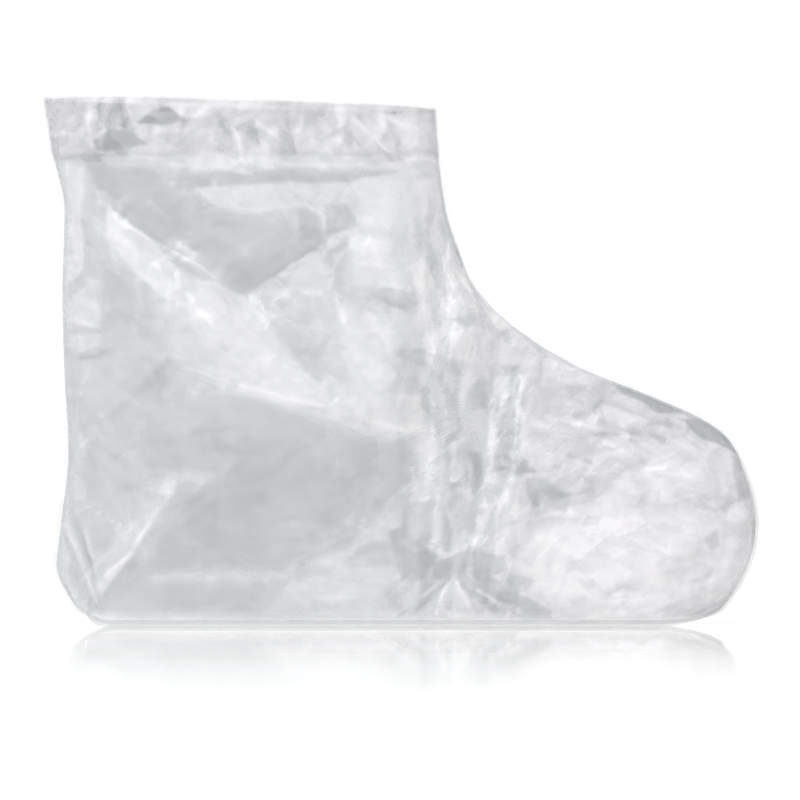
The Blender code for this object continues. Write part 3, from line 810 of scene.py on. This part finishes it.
def sheet_piece(name, grid, tone, replaced, material):
    """A single film surface through a grid of points."""
    rows, columns = grid.shape[:2]
    number = np.arange(rows * columns).reshape(rows, columns)
    faces = np.stack([number[:-1, :-1], number[1:, :-1], number[1:, 1:], number[:-1, 1:]], axis=-1)
    mesh = bpy.data.meshes.new(name)
    mesh.from_pydata(grid.reshape(-1, 3).tolist(), [], faces.reshape(-1, 4).tolist())
    # Per-point tone: the film's milkiness together with painted light and painted shade
    layer = mesh.attributes.new("milk_and_painted_light", "FLOAT", "POINT")
    layer.data.foreach_set("value", tone.ravel().astype(np.float32))
    mesh.shade_smooth()
    piece = bpy.data.objects.new(name, mesh)
    bpy.context.scene.collection.objects.link(piece)
    mesh.materials.append(material)
    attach(piece, "root")
    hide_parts(replaced)
    return piece


def hem_grid(surface, normal, tone, down):
    """The turned-over film: from inside the opening over the sheet's top and down its outside."""
    last = int(np.searchsorted(down, HEM_HEIGHT))
    turn = int(np.searchsorted(down, HEM_TURN_IN))
    rim, rim_normal = surface[0], normal[0]
    inside = [surface[row] - normal[row] * HEM_STAND_OFF for row in range(turn, 0, -1)]
    over = []
    for angle in np.linspace(math.pi, 0, HEM_TURN_ROWS):
        lift = np.array([0, 0, HEM_STAND_OFF * math.sin(angle)])
        over.append(rim + rim_normal * HEM_STAND_OFF * math.cos(angle) + lift)
    outside = []
    for row in range(1, last + 1):
        free = HEM_PRESSED + (1 - HEM_PRESSED) * fade((down[last] - down[row]) / HEM_PRESS_REACH)
        outside.append(surface[row] + normal[row] * HEM_STAND_OFF * free)
    rows = [*range(turn, 0, -1), *([0] * HEM_TURN_ROWS), *range(1, last + 1)]
    return np.array(inside + over + outside), tone[rows]


def weld_piece(surface, material):
    """The welded strip: a thin wavy ribbon all round from the back of the opening to its front."""
    down = [(row, 0) for row in range(ROWS + 1)]
    round_toe = [(ROWS, place) for place in range(1, COLUMNS + 1)]
    up = [(row, COLUMNS) for row in range(ROWS - 1, -1, -1)]
    points = surface[tuple(np.array(down + round_toe + up).T)].copy()
    points[:, 1] = 0
    keep = np.concatenate([[True], np.linalg.norm(np.diff(points, axis=0), axis=1) > 1e-5])
    points = points[keep]
    tangent = np.gradient(points[:, [0, 2]], axis=0)
    tangent /= np.linalg.norm(tangent, axis=1)[:, None]
    outward = np.stack([tangent[:, 1], np.zeros(len(points)), -tangent[:, 0]], axis=-1)
    points[[0, -1], 2] += HEM_STAND_OFF
    ragged = 1 + WELD_RAGGED[0] * cloud(points, WELD_RAGGED[1], 61)
    flange = WELD_FLANGE * fade(points[:, 2] / (0.06 * INSTEP_HEIGHT)) * ragged
    wave = WELD_WAVE[0] * cloud(points, WELD_WAVE[1], 62) * fade(points[:, 2] / 0.01)
    out_line = points + outward * flange[:, None] + np.stack([0 * wave, wave, 0 * wave], axis=-1)
    in_line = points - outward * WELD_INSIDE
    half = np.array([0, WELD_HALF, 0])
    ring = np.stack([out_line - half, out_line + half, in_line + half, in_line - half], axis=1)
    count = len(points)
    faces = []
    for i in range(count - 1):
        for k in range(4):
            m = (k + 1) % 4
            faces.append((4 * i + k, 4 * i + 4 + k, 4 * i + 4 + m, 4 * i + m))
    faces += [(0, 1, 2, 3), (4 * count - 1, 4 * count - 2, 4 * count - 3, 4 * count - 4)]
    mesh = bpy.data.meshes.new("film_edge_weld")
    mesh.from_pydata(ring.reshape(-1, 3).tolist(), [], faces)
    mesh.shade_smooth()
    mesh.set_sharp_from_angle(angle=math.radians(40))
    mesh.materials.append(material)
    piece = bpy.data.objects.new("film_edge_weld", mesh)
    bpy.context.scene.collection.objects.link(piece)
    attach(piece, "root")
    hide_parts("edge_weld")


def planar_facets(add, join, vector, scale, seed):
    """A pattern of flat facets: the difference of the squared distances to two sets of points."""
    squares = []
    for offset in (seed, seed + 20):
        moved = add("ShaderNodeVectorMath", {"Vector_001": (offset, offset * 0.7, -offset)})
        join(vector, moved.inputs[0])
        cells = add("ShaderNodeTexVoronoi", {"Scale": scale})
        join(moved.outputs[0], cells.inputs["Vector"])
        square = add("ShaderNodeMath", {1: 2.0}, operation="POWER")
        join(cells.outputs["Distance"], square.inputs[0])
        squares.append(square)
    height = add("ShaderNodeMath", {}, operation="SUBTRACT")
    join(squares[0].outputs[0], height.inputs[0])
    join(squares[1].outputs[0], height.inputs[1])
    return height.outputs[0]


def make_material(name):
    """A new material, its shader, a function that adds a node and one that joins two sockets."""
    material = bpy.data.materials.new(name)
    material.use_nodes = True
    nodes = material.node_tree.nodes

    def add(kind, values, **settings):
        node = nodes.new(kind)
        for setting, value in settings.items():
            setattr(node, setting, value)
        for socket, value in values.items():
            place = 1 if socket == "Vector_001" else socket
            node.inputs[place].default_value = value
        return node

    return material, nodes["Principled BSDF"], add, material.node_tree.links.new


def add_bump(add, join, heights, shader):
    """Chains bump nodes: (height socket, strength, distance) each."""
    normal = None
    for height, strength, distance in heights:
        bump = add("ShaderNodeBump", {"Strength": strength, "Distance": distance})
        join(height, bump.inputs["Height"])
        if normal:
            join(normal, bump.inputs["Normal"])
        normal = bump.outputs["Normal"]
    join(normal, shader.inputs["Normal"])


def film_material(name, clear_film_and_painted_shade, milky_film_and_painted_light, least_stops, most_stops, roughness):
    """Film that is grey and clear where its tone is low, and milky where it's high; the grey also stands for
    painted shade and the milky white for painted light.
    """
    material, shader, add, join = make_material(name)
    place = add("ShaderNodeTexCoord", {}).outputs["Object"]
    milk_and_painted_light = add("ShaderNodeAttribute", {}, attribute_name="milk_and_painted_light")
    haze = add("ShaderNodeTexNoise", {"Scale": 120, "Detail": 3})
    join(place, haze.inputs["Vector"])
    spread = add("ShaderNodeMapRange", {"From Min": 0.3, "From Max": 0.7, "To Min": -0.1, "To Max": 0.1})
    join(haze.outputs["Fac"], spread.inputs["Value"])
    total = add("ShaderNodeMath", {}, operation="ADD")
    join(milk_and_painted_light.outputs["Fac"], total.inputs[0])
    join(spread.outputs["Result"], total.inputs[1])
    share = add("ShaderNodeMapRange", {"From Min": -MOST_TONE, "From Max": MOST_TONE})
    join(total.outputs["Value"], share.inputs["Value"])
    # Low tone gives the grey of clear film and of painted shade, high tone the white of milky film and of
    # painted light
    tint = add("ShaderNodeMix", {"A": (*clear_film_and_painted_shade, 1), "B": (*milky_film_and_painted_light, 1)}, data_type="RGBA")
    join(share.outputs["Result"], tint.inputs["Factor"])
    parts = add("ShaderNodeSeparateXYZ", {})
    join(place, parts.inputs["Vector"])
    forward = add("ShaderNodeMapRange", {"From Min": 0.02, "From Max": 0.12}, interpolation_type="SMOOTHSTEP")
    join(parts.outputs["X"], forward.inputs["Value"])
    warm = add("ShaderNodeMix", {"B": (*WARM_TINT, 1)}, data_type="RGBA", blend_type="MULTIPLY")
    join(tint.outputs["Result"], warm.inputs["A"])
    join(forward.outputs["Result"], warm.inputs["Factor"])
    join(warm.outputs["Result"], shader.inputs["Base Color"])
    stops = add("ShaderNodeMapRange", {"To Min": least_stops, "To Max": most_stops})
    join(share.outputs["Result"], stops.inputs["Value"])
    sole = add("ShaderNodeMapRange", {"From Min": 0.0004, "From Max": 0.006, "To Min": 0.3, "To Max": 1.0})
    join(parts.outputs["Z"], sole.inputs["Value"])
    film = add("ShaderNodeMath", {}, operation="MULTIPLY")
    join(stops.outputs["Result"], film.inputs[0])
    join(sole.outputs["Result"], film.inputs[1])
    join(film.outputs["Value"], shader.inputs["Alpha"])
    gloss = add("ShaderNodeMapRange", {"To Min": roughness * 0.75, "To Max": roughness * 1.3})
    join(haze.outputs["Fac"], gloss.inputs["Value"])
    join(gloss.outputs["Result"], shader.inputs["Roughness"])
    crumpled = planar_facets(add, join, place, 130, 3)
    add_bump(add, join, ((crumpled, 0.5, 0.0011),), shader)
    shader.inputs["IOR"].default_value = 1.5
    shader.inputs["Specular IOR Level"].default_value = 0.30
    return material


def weld_material():
    """The melted edge: pale, thin and slightly rough."""
    material, shader, add, join = make_material("melted_edge")
    place = add("ShaderNodeTexCoord", {}).outputs["Object"]
    haze = add("ShaderNodeTexNoise", {"Scale": 160, "Detail": 4})
    join(place, haze.inputs["Vector"])
    tint = add("ShaderNodeMix", {"A": (0.42, 0.44, 0.46, 1), "B": (0.72, 0.73, 0.75, 1)}, data_type="RGBA")
    join(haze.outputs["Fac"], tint.inputs["Factor"])
    join(tint.outputs["Result"], shader.inputs["Base Color"])
    add_bump(add, join, ((haze.outputs["Fac"], 0.4, 0.0003),), shader)
    shader.inputs["Alpha"].default_value = 0.25
    shader.inputs["Roughness"].default_value = 0.35
    return material


def make_floor():
    """A white floor that mirrors the bootie, less sharply in front of it."""
    material, shader, add, join = make_material("pale_floor")
    place = add("ShaderNodeTexCoord", {}).outputs["Object"]
    middle = add("ShaderNodeVectorMath", {}, operation="LENGTH")
    join(place, middle.inputs[0])
    near = add("ShaderNodeMapRange", {"From Min": 0.15, "From Max": 0.7, "To Min": 0.0, "To Max": 0.22})
    join(middle.outputs["Value"], near.inputs["Value"])
    far = add("ShaderNodeMapRange", {"From Min": 1.0, "From Max": 2.5, "To Min": 1.0, "To Max": 0.0})
    join(middle.outputs["Value"], far.inputs["Value"])
    matt = add("ShaderNodeMath", {}, operation="MULTIPLY")
    join(near.outputs["Result"], matt.inputs[0])
    join(far.outputs["Result"], matt.inputs[1])
    parts = add("ShaderNodeSeparateXYZ", {})
    join(place, parts.inputs["Vector"])
    front = add("ShaderNodeMapRange", {"From Min": -0.12, "From Max": 0.0, "To Min": 1.0, "To Max": 0.0})
    join(parts.outputs["Y"], front.inputs["Value"])
    front_only = add("ShaderNodeMath", {}, operation="MULTIPLY")
    join(matt.outputs["Value"], front_only.inputs[0])
    join(front.outputs["Result"], front_only.inputs[1])
    join(front_only.outputs["Value"], shader.inputs["Roughness"])
    shader.inputs["Base Color"].default_value = (0.85, 0.85, 0.85, 1)
    mesh = bpy.data.meshes.new("floor")
    angles = np.linspace(0, 2 * math.pi, FLOOR_SIDES, endpoint=False)
    points = []
    for reach in FLOOR_RINGS:
        points += [(reach * math.cos(a), reach * math.sin(a), FLOOR_LEVEL) for a in angles]
    faces = [tuple(range(FLOOR_SIDES))]
    for ring in range(len(FLOOR_RINGS) - 1):
        for k in range(FLOOR_SIDES):
            m = (k + 1) % FLOOR_SIDES
            inner, outer = ring * FLOOR_SIDES, (ring + 1) * FLOOR_SIDES
            faces.append((inner + k, outer + k, outer + m, inner + m))
    mesh.from_pydata(points, [], faces)
    mesh.materials.append(material)
    floor = bpy.data.objects.new("floor", mesh)
    bpy.context.scene.collection.objects.link(floor)


def aim(item, target):
    """Turns a lamp or camera so that it looks at a place."""
    direction = np.array(target) - np.array(item.location)
    item.rotation_mode = "QUATERNION"
    item.rotation_quaternion = Vector(direction).to_track_quat("-Z", "Y")


def make_light(name, place, size, power):
    """A lamp of that width and height, in metres, aimed at the bootie."""
    data = bpy.data.lights.new(name, "AREA")
    data.shape = "RECTANGLE"
    data.size, data.size_y = size
    data.energy = power
    light = bpy.data.objects.new(name, data)
    light.location = place
    bpy.context.scene.collection.objects.link(light)
    aim(light, BOOTIE_MIDDLE)


def make_world():
    """A white band round the horizon, and a dimmer sky above it so that the film's folds show."""
    world = bpy.data.worlds.new("studio")
    world.use_nodes = True
    nodes, links = world.node_tree.nodes, world.node_tree.links
    coordinates = nodes.new("ShaderNodeTexCoord")
    parts = nodes.new("ShaderNodeSeparateXYZ")
    links.new(coordinates.outputs["Generated"], parts.inputs["Vector"])
    dim = nodes.new("ShaderNodeMapRange")
    dim.interpolation_type = "SMOOTHSTEP"
    dim.inputs["From Min"].default_value = 0.40
    dim.inputs["From Max"].default_value = 0.65
    dim.inputs["To Min"].default_value = 1.12
    dim.inputs["To Max"].default_value = 0.30
    links.new(parts.outputs["Z"], dim.inputs["Value"])
    links.new(dim.outputs["Result"], nodes["Background"].inputs["Strength"])
    nodes["Background"].inputs["Color"].default_value = (1, 1, 1, 1)
    bpy.context.scene.world = world


def make_lights():
    """The sky, a large lamp above and two narrow ones in front."""
    make_world()
    make_light("key", (-0.8, -1.0, 1.8), (1.5, 1.5), 68)
    make_light("high_strip", (-0.75, -1.9, 0.95), (0.12, 0.6), 1.1)
    make_light("low_strip", (1.2, -1.7, 0.35), (0.10, 0.7), 0.9)


def make_camera():
    """A long lens level with the middle of the picture, above the floor."""
    distance = PICTURE_SIDE * METRES_PER_PIXEL * LENS / SENSOR
    middle = (CAMERA_SOLE - PICTURE_MIDDLE) * METRES_PER_PIXEL
    data = bpy.data.cameras.new("camera")
    data.lens, data.sensor_width = LENS, SENSOR
    camera = bpy.data.objects.new("camera", data)
    camera.location = (0, -distance, middle)
    bpy.context.scene.collection.objects.link(camera)
    aim(camera, (0, 0, middle))
    bpy.context.scene.camera = camera


def make_bootie():
    """The two film sheets, their hem bands and the welded strip, moved onto the solids."""
    low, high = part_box("edge_weld")
    # Grey clear and milky white colours; the grey also paints shade and the white paints light
    film = film_material("film", (0.135, 0.155, 0.165), (0.70, 0.695, 0.71), 0.45, 0.53, 0.14)
    hem_film = film_material("hem_film", (0.23, 0.23, 0.25), (0.76, 0.755, 0.78), 0.24, 0.32, 0.14)
    made = {}
    for name, side in (("right", -1), ("left", 1)):
        made[name] = creased_surface(side)
    back = made["right"][0][:, 0, 0].min()
    shift = np.array([low[0] + WELD_FLANGE - back, (low[1] + high[1]) / 2, 0])
    for name, (surface, normal, tone, down) in made.items():
        sheet_piece(name + "_film_sheet", surface + shift, tone, name + "_side_panel", film)
        grid, hem_tone = hem_grid(surface, normal, tone, down)
        sheet_piece(name + "_hem_band", grid + shift, hem_tone, name + "_hem", hem_film)
    weld_piece(made["right"][0] + shift, weld_material())


make_camera()
make_bootie()
make_floor()
make_lights()
bpy.context.scene.view_settings.view_transform = "Standard"
